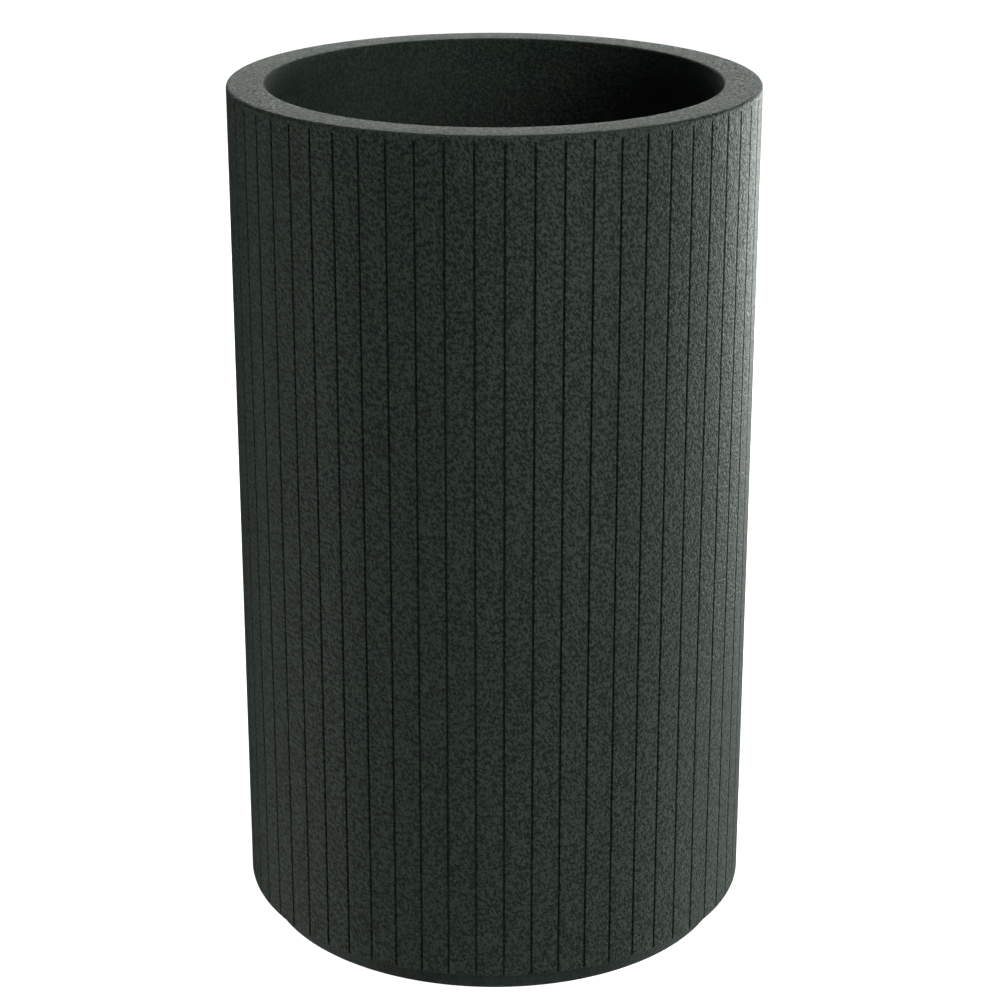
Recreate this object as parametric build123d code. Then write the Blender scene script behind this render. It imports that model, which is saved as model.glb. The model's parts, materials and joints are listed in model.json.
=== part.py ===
"""Tall round plastic planter: a grooved outer shell on a recessed base, with a lift-out liner.

The outer shell is one moulding: the grooved wall, a wide flat rim, and a collar turned down
inside the rim that ends in a ledge. The base closes the shell from below and stands on rubber
pads. A liner for the soil hangs on the ledge, with two fold-up handles and a drainage grid.
Millimetres, +Z up, origin at the centre of the footprint on the floor.
"""
import os
from math import cos, radians, sin

from build123d import *

# Overall size and the outer shell
total_height = 600.0
outer_diameter = 360.0
shell_wall = 4.0
rim_width = 26.0
rim_thickness = 4.0
rim_edge_radius = 2.5
shell_foot_radius = 1.5

# Vertical grooves that divide the wall into staves
groove_count = 60
groove_width = 1.8
groove_floor_width = 0.6
groove_depth = 1.4
groove_top_gap = 4.5

# Collar inside the rim, its ledge, and the webs that tie it to the wall
collar_wall = 4.0
collar_depth = 92.0
ledge_width = 14.0
ledge_thickness = 4.0
web_count = 12
web_thickness = 2.5
web_height = 66.0

# Base: recessed plinth, floor, spigot and ribs
plinth_height = 17.5
plinth_setback = 12.5
plinth_wall = 4.0
plinth_edge_radius = 1.0
base_floor = 4.0
spigot_height = 9.5
spigot_wall = 5.8
spigot_clearance = 0.2
base_rib_count = 12
base_rib_thickness = 2.5
base_rib_gap = 3.5
rib_ring_diameter = 222.0

# Seal ring round the spigot
seal_height = 3.4
seal_depth = 2.6
seal_clearance = 0.1
seal_edge_radius = 0.8

# Screws up through the base, and the shell's bosses that take them
screw_count = 8
screw_diameter = 4.0
screw_length = 22.0
screw_head_diameter = 8.0
screw_head_height = 2.6
screw_head_radius = 0.8
screw_recess_width = 1.0
screw_recess_length = 4.6
screw_recess_depth = 1.4
screw_hole_clearance = 0.25
screw_core_clearance = 0.05
screw_wall_gap = 4.5
boss_diameter = 10.0
boss_height = 34.0
boss_web_thickness = 3.0
boss_web_gap = 1.0

# Rubber pads under the base
pad_count = 4
pad_diameter = 26.0
pad_thickness = 4.0
pad_standout = 1.5
pad_clearance = 0.2
pad_boss_wall = 3.0
pad_skirt_gap = 12.5
pad_edge_radius = 1.0

# Drain in the middle of the base, and its plug
drain_diameter = 20.0
drain_wall = 4.0
sump_depth = 3.0
plug_head_diameter = 30.0
plug_head_clearance = 0.6
plug_clearance = 0.3
plug_shank_length = 11.0
plug_tip_chamfer = 1.5
plug_loop_radius = 9.0
plug_loop_wire = 3.2

# Liner
liner_wall = 3.0
liner_depth = 300.0
liner_bottom_diameter = 254.0
liner_clearance = 1.0
liner_flange_thickness = 3.0
liner_corner_radius = 12.0
liner_foot_height = 4.0
liner_foot_width = 4.0
liner_foot_inset = 14.0
liner_foot_notch_width = 16.0
liner_foot_notch_count = 4
drain_hole_diameter = 10.0
inner_drain_ring_radius = 52.0
inner_drain_hole_count = 6
outer_drain_ring_radius = 92.0
outer_drain_hole_count = 8

# Grid that keeps the soil off the liner's floor
grid_thickness = 3.0
grid_clearance = 1.5
grid_leg_count = 6
grid_leg_height = 16.0
grid_leg_diameter = 14.0
grid_leg_wall = 2.0
grid_leg_circle_diameter = 144.0
grid_hole_diameter = 7.0
grid_hole_pitch = 18.0
grid_hole_edge = 8.0

# Handles that fold flat on the liner's flange
handle_width = 8.0
handle_thickness = 6.0
handle_gap = 0.3
handle_arc_half_angle = 42.0
handle_pivot_half_angle = 48.0
handle_pivot_inset = 5.0
knuckle_length = 8.5
pivot_diameter = 5.0
pivot_clearance = 0.05
pivot_overhang = 0.8
ear_thickness = 3.5
ear_width = 10.0
ear_height = 8.5
ear_gap = 0.3

# Heights and radii worked out from the sizes above
outer_radius = outer_diameter / 2
shell_inner_radius = outer_radius - shell_wall
shell_foot = plinth_height
floor_top = plinth_height + base_floor
collar_inner_radius = outer_radius - rim_width
collar_outer_radius = collar_inner_radius + collar_wall
rim_underside = total_height - rim_thickness
ledge_underside = total_height - collar_depth
ledge_top = ledge_underside + ledge_thickness
ledge_radius = collar_inner_radius - ledge_width
plinth_radius = outer_radius - plinth_setback
plinth_inner_radius = plinth_radius - plinth_wall
spigot_radius = shell_inner_radius - spigot_clearance
spigot_top = floor_top + spigot_height
screw_circle_radius = plinth_inner_radius - screw_wall_gap - screw_head_diameter / 2
pad_circle_radius = plinth_inner_radius - pad_skirt_gap - pad_diameter / 2
flange_top = ledge_top + liner_flange_thickness
flange_radius = collar_inner_radius - liner_clearance
liner_mouth_radius = ledge_radius - liner_clearance
liner_floor_underside = ledge_top - liner_depth
liner_floor_top = liner_floor_underside + liner_wall
liner_bottom_radius = liner_bottom_diameter / 2
grid_underside = liner_floor_top + grid_leg_height
handle_radius = (flange_radius + liner_mouth_radius - liner_wall) / 2
pivot_radius_in_plan = handle_radius - handle_pivot_inset
pivot_x = pivot_radius_in_plan * cos(radians(handle_pivot_half_angle))
pivot_y = pivot_radius_in_plan * sin(radians(handle_pivot_half_angle))
handle_underside = flange_top + handle_gap
pivot_z = handle_underside + handle_thickness / 2
ear_inner_y = pivot_y + knuckle_length / 2 + ear_gap
overcut = 1.0


def turned(*outline):
    """Solid turned about Z from a closed outline of lines and arcs in (radius, height)."""
    return revolve(Plane.XZ * make_face(Curve() + list(outline)), axis=Axis.Z)


def tube(outer, inner, bottom, top):
    """Plain ring or disc between two heights."""
    solid = Pos(0, 0, bottom) * extrude(Circle(outer), top - bottom)
    if inner > 0:
        solid -= Pos(0, 0, bottom - overcut) * extrude(Circle(inner), top - bottom + 2 * overcut)
    return solid


def post(x, y, radius, bottom, top):
    """Round post or hole tool standing at (x, y)."""
    return Pos(x, y, bottom) * extrude(Circle(radius), top - bottom)


def radial_plate(start, end, thickness, bottom, top):
    """Thin upright plate along +X between two radii."""
    length = end - start
    middle = (start + end) / 2
    return Pos(middle, 0, bottom) * extrude(Rectangle(length, thickness), top - bottom)


def round_pattern(count, tool, start_angle=0.0):
    """Copies of a tool turned evenly about Z."""
    return [Rot(0, 0, start_angle + 360.0 / count * k) * tool for k in range(count)]


def liner_outer_radius(height):
    """Radius of the liner's tapered outside at a height."""
    share = (height - liner_floor_underside) / (ledge_top - liner_floor_underside)
    return liner_bottom_radius + (liner_mouth_radius - liner_bottom_radius) * share


def groove_tool():
    """Cutter for one groove: it runs out through the foot of the wall and stops under the rim."""
    flare = (groove_width - groove_floor_width) / 2 * (groove_depth + overcut) / groove_depth
    half_floor = groove_floor_width / 2
    section = Polygon(
        (outer_radius - groove_depth, -half_floor),
        (outer_radius + overcut, -half_floor - flare),
        (outer_radius + overcut, half_floor + flare),
        (outer_radius - groove_depth, half_floor),
        align=None,
    )
    bottom = shell_foot - overcut
    top = total_height - groove_top_gap
    return Pos(0, 0, bottom) * extrude(section, top - bottom)


def make_outer_shell():
    """Grooved wall, flat rim, collar with its ledge, webs, and the screw bosses inside the foot."""
    edge = rim_edge_radius
    foot = shell_foot_radius
    shell = turned(
        Line((shell_inner_radius, shell_foot), (outer_radius - foot, shell_foot)),
        CenterArc((outer_radius - foot, shell_foot + foot), foot, -90, 90),
        Line((outer_radius, shell_foot + foot), (outer_radius, total_height - edge)),
        CenterArc((outer_radius - edge, total_height - edge), edge, 0, 90),
        Line((outer_radius - edge, total_height), (collar_inner_radius + edge, total_height)),
        CenterArc((collar_inner_radius + edge, total_height - edge), edge, 90, 90),
        Polyline(
            (collar_inner_radius, total_height - edge),
            (collar_inner_radius, ledge_top),
            (ledge_radius, ledge_top),
            (ledge_radius, ledge_underside),
            (collar_outer_radius, ledge_underside),
            (collar_outer_radius, rim_underside),
            (shell_inner_radius, rim_underside),
            (shell_inner_radius, shell_foot),
        ),
    )
    bite = shell_wall / 2
    web = radial_plate(
        collar_outer_radius - bite,
        shell_inner_radius + bite,
        web_thickness,
        rim_underside - web_height,
        rim_underside + rim_thickness / 2,
    )
    shell += round_pattern(web_count, web, 180.0 / web_count)
    boss_top = floor_top + boss_height
    boss = post(screw_circle_radius, 0, boss_diameter / 2, floor_top, boss_top)
    boss += radial_plate(
        screw_circle_radius,
        shell_inner_radius + bite,
        boss_web_thickness,
        spigot_top + boss_web_gap,
        boss_top,
    )
    core_radius = screw_diameter / 2 + screw_core_clearance
    core_top = plinth_height + screw_length + overcut
    boss -= post(screw_circle_radius, 0, core_radius, floor_top - overcut, core_top)
    shell += round_pattern(screw_count, boss, 180.0 / screw_count)
    shell -= round_pattern(groove_count, groove_tool())
    return shell


def make_base():
    """Recessed plinth with its floor, spigot, ribs, pad seats and drain."""
    edge = plinth_edge_radius
    skirt = turned(
        Line((plinth_inner_radius, pad_standout), (plinth_radius - edge, pad_standout)),
        CenterArc((plinth_radius - edge, pad_standout + edge), edge, -90, 90),
        Polyline(
            (plinth_radius, pad_standout + edge),
            (plinth_radius, plinth_height + base_floor / 2),
            (plinth_inner_radius, plinth_height + base_floor / 2),
            (plinth_inner_radius, pad_standout),
        ),
    )
    groove_middle = floor_top + spigot_height / 2
    seal_groove = tube(
        spigot_radius + overcut,
        spigot_radius - seal_depth,
        groove_middle - seal_height / 2 - seal_clearance,
        groove_middle + seal_height / 2 + seal_clearance,
    )
    rib_foot = pad_standout + base_rib_gap
    drain_radius = drain_diameter / 2
    sump_radius = plug_head_diameter / 2 + plug_head_clearance
    rib = radial_plate(
        drain_radius + drain_wall / 2,
        plinth_inner_radius + plinth_wall / 2,
        base_rib_thickness,
        rib_foot,
        plinth_height + base_floor / 2,
    )
    ring_radius = rib_ring_diameter / 2
    pad_boss_radius = pad_diameter / 2 + pad_boss_wall
    pad_boss = post(pad_circle_radius, 0, pad_boss_radius, pad_standout, plinth_height + base_floor / 2)
    pad_seat = post(pad_circle_radius, 0, pad_diameter / 2, pad_standout - overcut, pad_thickness)
    screw_hole_radius = screw_diameter / 2 + screw_hole_clearance
    screw_hole = post(screw_circle_radius, 0, screw_hole_radius, plinth_height - overcut, floor_top + overcut)
    base = tube(spigot_radius, 0, plinth_height, floor_top)
    base += tube(spigot_radius, spigot_radius - spigot_wall, floor_top - base_floor / 2, spigot_top)
    base += skirt
    base += tube(ring_radius, ring_radius - base_rib_thickness, rib_foot, plinth_height + base_floor / 2)
    base += round_pattern(base_rib_count, rib, 180.0 / base_rib_count)
    base += round_pattern(pad_count, pad_boss)
    base += tube(sump_radius + drain_wall, 0, rib_foot, plinth_height + base_floor / 2)
    base -= seal_groove
    base -= round_pattern(pad_count, pad_seat)
    base -= round_pattern(screw_count, screw_hole, 180.0 / screw_count)
    base -= post(0, 0, drain_radius, 0, floor_top + overcut)
    base -= post(0, 0, sump_radius, floor_top - sump_depth, floor_top + overcut)
    return base


def make_base_seal():
    """Rubber ring squeezed between the spigot and the inside of the shell's wall."""
    middle = floor_top + spigot_height / 2
    inner = spigot_radius - seal_depth + seal_clearance
    outer = shell_inner_radius - seal_clearance
    section = Pos((inner + outer) / 2, middle) * RectangleRounded(
        outer - inner, seal_height, seal_edge_radius
    )
    return revolve(Plane.XZ * section, axis=Axis.Z)


def make_base_screws():
    """Pan-head screws, driven up through the floor into the shell's bosses."""
    head_bottom = plinth_height - screw_head_height
    head = post(0, 0, screw_head_diameter / 2, head_bottom, plinth_height)
    head = fillet(head.edges().group_by(Axis.Z)[0], screw_head_radius)
    screw = head + post(0, 0, screw_diameter / 2, plinth_height - overcut, plinth_height + screw_length)
    for turn in (0, 90):
        screw -= (
            Pos(0, 0, head_bottom - overcut)
            * Rot(0, 0, turn)
            * extrude(Rectangle(screw_recess_length, screw_recess_width), overcut + screw_recess_depth)
        )
    return round_pattern(screw_count, Pos(screw_circle_radius, 0, 0) * screw, 180.0 / screw_count)


def make_foot_pad():
    """Rubber pad in the seat on +X."""
    pad = post(pad_circle_radius, 0, pad_diameter / 2 - pad_clearance, 0, pad_thickness)
    return fillet(pad.edges().group_by(Axis.Z)[0], pad_edge_radius)


def make_drain_plug():
    """Rubber plug with a flat head in the sump and a loop to pull it by."""
    head_bottom = floor_top - sump_depth
    shank_radius = drain_diameter / 2 - plug_clearance
    shank = post(0, 0, shank_radius, head_bottom - plug_shank_length, head_bottom + overcut)
    shank = chamfer(shank.edges().group_by(Axis.Z)[0], plug_tip_chamfer)
    plug = shank + post(0, 0, plug_head_diameter / 2, head_bottom, floor_top)
    loop = Pos(0, 0, floor_top) * Rot(90, 0, 0) * Torus(plug_loop_radius, plug_loop_wire / 2)
    half_loop = loop & Pos(0, 0, floor_top - overcut) * Box(
        4 * plug_loop_radius,
        4 * plug_loop_wire,
        2 * plug_loop_radius + overcut,
        align=(Align.CENTER, Align.CENTER, Align.MIN),
    )
    return plug + half_loop


def make_liner():
    """Tapered pot with its flange, corner round the floor, foot ring, drain holes and handle ears."""
    corner = liner_corner_radius
    inner_corner = corner - liner_wall
    low = liner_floor_underside
    wall_start = low + corner
    outer_low = liner_outer_radius(wall_start)
    inner_low = outer_low - liner_wall
    inner_mouth = liner_mouth_radius - liner_wall
    pot = turned(
        Line((0, low), (outer_low - corner, low)),
        CenterArc((outer_low - corner, wall_start), corner, -90, 90),
        Polyline(
            (outer_low, wall_start),
            (liner_mouth_radius, ledge_top),
            (flange_radius, ledge_top),
            (flange_radius, flange_top),
            (inner_mouth, flange_top),
            (inner_low, wall_start),
        ),
        CenterArc((inner_low - inner_corner, wall_start), inner_corner, -90, 90),
        Polyline((inner_low - inner_corner, liner_floor_top), (0, liner_floor_top), (0, low)),
    )
    foot_radius = outer_low - liner_foot_inset
    foot = tube(foot_radius, foot_radius - liner_foot_width, low - liner_foot_height, low + liner_wall / 2)
    foot -= round_pattern(
        liner_foot_notch_count,
        Pos(foot_radius - liner_foot_width / 2, 0, low - liner_foot_height)
        * Box(4 * liner_foot_width, liner_foot_notch_width, 2 * liner_foot_height),
        180.0 / liner_foot_notch_count,
    )
    pot += foot
    ear = Pos(pivot_x, ear_inner_y + ear_thickness / 2, flange_top - liner_flange_thickness / 2) * extrude(
        Rectangle(ear_width, ear_thickness), ear_height + liner_flange_thickness / 2
    )
    pivot_hole = (
        Pos(pivot_x, ear_inner_y + ear_thickness + overcut, pivot_z)
        * Rot(90, 0, 0)
        * extrude(Circle(pivot_diameter / 2 + pivot_clearance), ear_thickness + 2 * overcut)
    )
    ear -= pivot_hole
    ears = [ear, mirror(ear, Plane.XZ), mirror(ear, Plane.YZ), mirror(mirror(ear, Plane.XZ), Plane.YZ)]
    pot += ears
    hole = post(0, 0, drain_hole_diameter / 2, low - overcut, liner_floor_top + overcut)
    pot -= hole
    pot -= round_pattern(inner_drain_hole_count, Pos(inner_drain_ring_radius, 0, 0) * hole)
    pot -= round_pattern(outer_drain_hole_count, Pos(outer_drain_ring_radius, 0, 0) * hole)
    return pot


def make_drainage_grid():
    """Perforated disc on hollow legs, dropped into the bottom of the liner."""
    grid_radius = liner_outer_radius(grid_underside) - liner_wall - grid_clearance
    grid_top = grid_underside + grid_thickness
    grid = tube(grid_radius, 0, grid_underside, grid_top)
    leg_x = grid_leg_circle_diameter / 2
    leg = post(leg_x, 0, grid_leg_diameter / 2, liner_floor_top, grid_underside + grid_thickness / 2)
    bore = post(
        leg_x, 0, grid_leg_diameter / 2 - grid_leg_wall, liner_floor_top - overcut, grid_underside
    )
    grid += round_pattern(grid_leg_count, leg, 180.0 / grid_leg_count)
    grid -= round_pattern(grid_leg_count, bore, 180.0 / grid_leg_count)
    ring_count = int((grid_radius - grid_hole_edge) // grid_hole_pitch)
    holes = [(0.0, 1)] + [(grid_hole_pitch * ring, 6 * ring) for ring in range(1, ring_count + 1)]
    for circle_radius, count in holes:
        hole = post(circle_radius, 0, grid_hole_diameter / 2, grid_underside - overcut, grid_top + overcut)
        grid -= round_pattern(count, hole)
    return grid


def make_handle():
    """Handle on the +X side: an arc along the flange, with a knuckle and a pivot stub at each end.

    The square heel on the knuckle meets the flange just past upright and stops the handle there.
    """
    half_width = handle_width / 2
    arc = tube(
        handle_radius + half_width,
        handle_radius - half_width,
        handle_underside,
        handle_underside + handle_thickness,
    )
    arc_x = handle_radius * cos(radians(handle_arc_half_angle))
    arc_y = handle_radius * sin(radians(handle_arc_half_angle))
    sector = Polygon((0, 0), (2 * arc_x, -2 * arc_y), (2 * arc_x, 2 * arc_y), align=None)
    handle = arc & Pos(0, 0, handle_underside) * extrude(sector, handle_thickness)
    link = make_hull(
        (Pos(arc_x, arc_y) * Circle(half_width) + Pos(pivot_x, pivot_y) * Circle(half_width)).edges()
    )
    link = Pos(0, 0, handle_underside) * extrude(link, handle_thickness)
    link &= Pos(pivot_x, 0, handle_underside) * Box(
        outer_radius,
        2 * pivot_y + knuckle_length,
        2 * handle_thickness,
        align=(Align.MIN, Align.CENTER, Align.CENTER),
    )
    knuckle = (
        Pos(pivot_x, pivot_y + knuckle_length / 2, pivot_z)
        * Rot(90, 0, 0)
        * extrude(Circle(handle_thickness / 2), knuckle_length)
    )
    heel = Pos(pivot_x, pivot_y, pivot_z) * Box(
        handle_thickness / 2,
        knuckle_length,
        handle_thickness / 2,
        align=(Align.MAX, Align.CENTER, Align.MIN),
    )
    stub_end = ear_inner_y + ear_thickness + pivot_overhang
    stub = (
        Pos(pivot_x, stub_end, pivot_z)
        * Rot(90, 0, 0)
        * extrude(Circle(pivot_diameter / 2), stub_end - pivot_y)
    )
    end = link + knuckle + heel + stub
    return handle + end + mirror(end, Plane.XZ)


def write_part(node, shape):
    """Write one node, with its own solids, as a STEP file."""
    solids = shape if isinstance(shape, list) else [shape]
    shape = Compound(children=[s for item in solids for s in item.solids()])
    export_step(shape, f"parts/{node}.step")


def main():
    os.makedirs("parts", exist_ok=True)
    write_part("outer_shell", make_outer_shell())
    write_part("base_plinth", make_base())
    write_part("base_seal", make_base_seal())
    write_part("base_screws", make_base_screws())
    for k, pad in enumerate(round_pattern(pad_count, make_foot_pad())):
        write_part(f"foot_pad_{k + 1}", pad)
    write_part("drain_plug", make_drain_plug())
    write_part("liner", make_liner())
    write_part("drainage_grid", make_drainage_grid())
    handle = make_handle()
    write_part("liner_handle_right", handle)
    write_part("liner_handle_left", Rot(0, 0, 180) * handle)


main()
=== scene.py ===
import json
from math import cos, pi, radians, sin

import bmesh
import bpy
from mathutils import Matrix, Vector

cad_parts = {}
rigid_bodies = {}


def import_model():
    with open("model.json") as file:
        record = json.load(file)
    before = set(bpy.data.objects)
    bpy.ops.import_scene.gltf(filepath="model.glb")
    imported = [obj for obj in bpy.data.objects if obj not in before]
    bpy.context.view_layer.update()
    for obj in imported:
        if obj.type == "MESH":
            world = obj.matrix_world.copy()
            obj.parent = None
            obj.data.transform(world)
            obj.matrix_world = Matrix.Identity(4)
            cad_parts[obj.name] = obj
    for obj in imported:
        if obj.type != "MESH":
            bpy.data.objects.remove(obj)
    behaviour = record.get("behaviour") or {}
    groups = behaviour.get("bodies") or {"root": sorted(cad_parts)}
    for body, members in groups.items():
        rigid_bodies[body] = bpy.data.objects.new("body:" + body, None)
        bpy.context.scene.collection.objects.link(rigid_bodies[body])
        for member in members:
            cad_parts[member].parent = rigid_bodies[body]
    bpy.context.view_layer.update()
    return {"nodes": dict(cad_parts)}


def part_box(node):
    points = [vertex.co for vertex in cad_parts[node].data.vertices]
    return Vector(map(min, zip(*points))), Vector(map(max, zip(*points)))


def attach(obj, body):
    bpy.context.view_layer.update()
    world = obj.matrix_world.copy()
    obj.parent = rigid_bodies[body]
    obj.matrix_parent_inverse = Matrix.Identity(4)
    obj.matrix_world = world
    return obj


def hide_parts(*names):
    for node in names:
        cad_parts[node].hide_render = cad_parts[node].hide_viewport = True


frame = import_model()
scene = bpy.context.scene
mm = 0.001
print("frame loaded")


class Wire:  # a node's output that takes part in Python arithmetic
    def __init__(self, board, socket):
        self.board = board
        self.socket = socket

    def out(self, name):  # another output of the same node
        return Wire(self.board, self.socket.node.outputs[name])

    def maths(self, operation, *others):
        return self.board.maths(operation, self, *others)

    def __add__(self, other):
        return self.maths("ADD", other)

    def __radd__(self, other):
        return self.board.maths("ADD", other, self)

    def __sub__(self, other):
        return self.maths("SUBTRACT", other)

    def __rsub__(self, other):
        return self.board.maths("SUBTRACT", other, self)

    def __mul__(self, other):
        return self.maths("MULTIPLY", other)

    def __rmul__(self, other):
        return self.board.maths("MULTIPLY", other, self)

    def __truediv__(self, other):
        return self.maths("DIVIDE", other)

    def __rtruediv__(self, other):
        return self.board.maths("DIVIDE", other, self)


class Board:  # a node tree that is being wired
    def __init__(self, tree):
        self.tree = tree

    def feed(self, socket, value):
        if isinstance(value, Wire):
            self.tree.links.new(value.socket, socket)
        else:
            socket.default_value = value

    def node(self, kind, settings=None, sockets=None):
        made = self.tree.nodes.new(kind)
        for name, value in (settings or {}).items():
            setattr(made, name, value)
        for key, value in (sockets or {}).items():
            self.feed(made.inputs[key], value)
        return Wire(self, made.outputs[0]) if len(made.outputs) else None

    def maths(self, operation, *values):
        return self.node("ShaderNodeMath", {"operation": operation}, dict(enumerate(values)))

    def between(self, value, low, high, first=0.0, last=1.0, curve="SMOOTHSTEP"):  # eased from first to last
        return self.node(
            "ShaderNodeMapRange",
            {"interpolation_type": curve},
            {"Value": value, "From Min": low, "From Max": high, "To Min": first, "To Max": last},
        )

    def blend(self, factor, first, last):  # one colour into another
        mixed = self.node("ShaderNodeMix", {"data_type": "RGBA"}, {"Factor": factor})
        self.feed(mixed.socket.node.inputs[6], first)
        self.feed(mixed.socket.node.inputs[7], last)
        return Wire(self, mixed.socket.node.outputs[2])


# Finishes


def newFinish(name):
    material = bpy.data.materials.new(name)
    material.use_nodes = True
    material.node_tree.nodes.clear()
    return material, Board(material.node_tree)


def closeFinish(board, look, color, roughness, height, depth):
    bump = board.node("ShaderNodeBump", {}, {"Strength": 1.0, "Distance": depth, "Height": height})
    shader = board.node(
        "ShaderNodeBsdfPrincipled",
        {},
        {
            "Base Color": color,
            "Roughness": roughness,
            "Normal": bump,
            "Metallic": look.get("metallic", 0.0),
            "Specular IOR Level": look.get("specular", 0.5),
        },
    )
    board.node("ShaderNodeOutputMaterial", {}, {"Surface": shader})


def noise(board, place, size, detail=2.0, rough=0.5, warp=0.0):
    return board.node(
        "ShaderNodeTexNoise",
        {"noise_dimensions": "3D"},
        {"Vector": place, "Scale": 1 / size, "Detail": detail, "Roughness": rough, "Distortion": warp},
    ).out("Fac")


# Shell: coarse moulded grain outside, fine grain on the rim and inside; painted light and shade in the
# coarse grain's colour, painted shade along the grooves and inside the rim
shellLook = dict(
    # pit and lump are the dark and pale ends of the shell's colour; the coarse grain's painted light and
    # shade spread between them
    pit=(0.0090, 0.0136, 0.0110, 1),
    lump=(0.0475, 0.0675, 0.0555, 1),
    roughness=0.55,
    specular=0.3,
    rippleSize=1.6 * mm,
    rippleStep=0.55 * mm,
    ripplePaintedLight=2.5,
    rippleRelief=0.35,
    slant=0.35,
    stretch=0.8,
    lumpSize=2.3 * mm,
    lumpWide=0.55,
    lumpTone=2.9,
    lumpRough=0.3,
    reliefDepth=1.3 * mm,
    pitSize=2.4 * mm,
    pitEdge=(0.06, 0.28),
    pitPaintedShade=0.25,
    pitRelief=0.15,
    grooveShade=0.62,
    grooveHalf=1.7 * mm,
    grooveCore=0.35 * mm,
    grooveFray=6 * mm,
    grooveFade=0.6 * mm,
    fineSize=2.2 * mm,
    fineTone=3.8,
    fineDepth=1.1 * mm,
    fineShine=1.6,
    insideShade=0.13,
    insideRough=0.2,
    insideFade=0.3 * mm,
    coarseEdge=(3.0 * mm, 1.5 * mm),
    edgeBand=0.6 * mm,
    cloudSize=55 * mm,
    cloudTone=0.25,
    cloudRough=0.10,
)


def shellFinish(look, shell, outerRadius, rimTop):
    material, board = newFinish("grainedPlastic")
    place = board.node("ShaderNodeTexCoord").out("Object")
    split = board.node("ShaderNodeSeparateXYZ", {}, {"Vector": place})
    x, y, z = (split.out(axis) for axis in "XYZ")
    radius = board.maths("SQRT", x * x + y * y)
    angle = board.maths("ARCTAN2", x, y * -1.0)
    # the wall unrolled: along the arc, up the wall and through it
    slanted = board.node("ShaderNodeCombineXYZ", {}, {
        "X": angle * outerRadius + z * look["slant"], "Y": z * look["stretch"], "Z": radius})
    sides = [
        noise(board, board.node("ShaderNodeVectorMath", {"operation": "ADD"}, {0: slanted, 1: (step, 0, 0)}),
              look["rippleSize"], 1.0, 0.6)
        for step in (-look["rippleStep"], look["rippleStep"])
    ]
    ripple = sides[0] - sides[1]
    broad = board.node("ShaderNodeCombineXYZ", {}, {
        "X": angle * (outerRadius * look["lumpWide"]), "Y": z, "Z": radius})
    lumps = noise(board, broad, look["lumpSize"], 1.0, 0.7)
    cells = board.node("ShaderNodeTexVoronoi", {"feature": "F1"}, {
        "Vector": slanted, "Scale": 1 / look["pitSize"], "Randomness": 1.0}).out("Distance")
    pits = board.between(cells, *look["pitEdge"], 1.0, 0.0)
    fine = noise(board, place, look["fineSize"], 2.0, 0.75)
    clouds = noise(board, place, look["cloudSize"], 3.0, 0.6)
    # where the coarse grain lies, and the wall inside the rim
    outside = board.between(radius, *(outerRadius - depth for depth in look["coarseEdge"]))
    below = board.between(z, rimTop - 2 * look["edgeBand"], rimTop - look["edgeBand"], 1.0, 0.0)
    coarse = outside * below
    collar = outerRadius - shell["rimWidth"]
    inside = board.between(radius, collar + look["insideFade"], collar + shell["innerEdge"], 1.0, 0.0)
    # painted shade along the grooves: dark lines, with edges that the grain frays, over the grooves' real
    # depth
    staves = board.maths("FRACT", angle * (shell["staves"] / (2 * pi)) + 0.5)
    aside = board.maths("ABSOLUTE", staves - 0.5) * (2 * pi * outerRadius / shell["staves"])
    frayed = aside + (lumps - 0.5) * look["grooveFray"]
    grooveTop = rimTop - shell["grooveTopGap"]
    ended = board.between(z, grooveTop - look["grooveFade"], grooveTop, 1.0, 0.0)
    paintedGrooveShade = board.between(frayed, look["grooveCore"], look["grooveHalf"], 1.0, 0.0) * ended
    height = coarse * (lumps + ripple * look["rippleRelief"] - pits * look["pitRelief"])
    height = height + (1 - coarse) * fine * (look["fineDepth"] / look["reliefDepth"])
    # painted light and shade on the coarse grain: the ripple term paints its sides lit on one side and
    # shaded on the other, and the lumps and pits darken its low places (painted shade, partly the grain's
    # own tone)
    rough = 0.5 + ripple * look["ripplePaintedLight"] + (lumps - 0.5) * look["lumpTone"] - pits * look["pitPaintedShade"]
    # the coarse grain's tone, darkened along the grooves by painted shade
    tone = coarse * rough * (1 - paintedGrooveShade * look["grooveShade"])
    tone = tone + (1 - coarse) * (0.5 + (fine - 0.5) * look["fineTone"])
    # the wall inside the rim is painted darker: painted shade
    tone = tone + (clouds - 0.5) * look["cloudTone"] - inside * look["insideShade"]
    color = board.blend(tone, look["pit"], look["lump"])
    roughness = look["roughness"] + (clouds - 0.5) * look["cloudRough"] + inside * look["insideRough"]
    roughness = roughness - coarse * (lumps - 0.5) * look["lumpRough"]
    roughness = roughness + (1 - coarse) * (fine - 0.5) * look["fineShine"]
    closeFinish(board, look, color, roughness, height, look["reliefDepth"])
    return material


def mouldedFinish(name, look):  # a plain moulded part: fine grain, soft clouds, faint flow marks
    material, board = newFinish(name)
    place = board.node("ShaderNodeTexCoord").out("Object")
    fine = noise(board, place, look["grain"], 2.0, 0.6)
    clouds = noise(board, place, look["clouds"], 3.0, 0.55)
    stretched = board.node("ShaderNodeMapping", {}, {
        "Vector": place, "Scale": look.get("flow", (1, 1, 0.15))})
    flow = noise(board, stretched, look["clouds"] * 0.4, 2.0, 0.5, 0.6)
    tone = board.between(clouds * 0.6 + flow * 0.4, 0.35, 0.65) + (fine - 0.5) * look.get("speckle", 0.5)
    color = board.blend(tone, look["color"], look["pale"])
    roughness = look["roughness"] + (clouds - 0.5) * 0.14 + (fine - 0.5) * 0.10
    closeFinish(board, look, color, roughness, fine, look["depth"])
    return material


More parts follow.
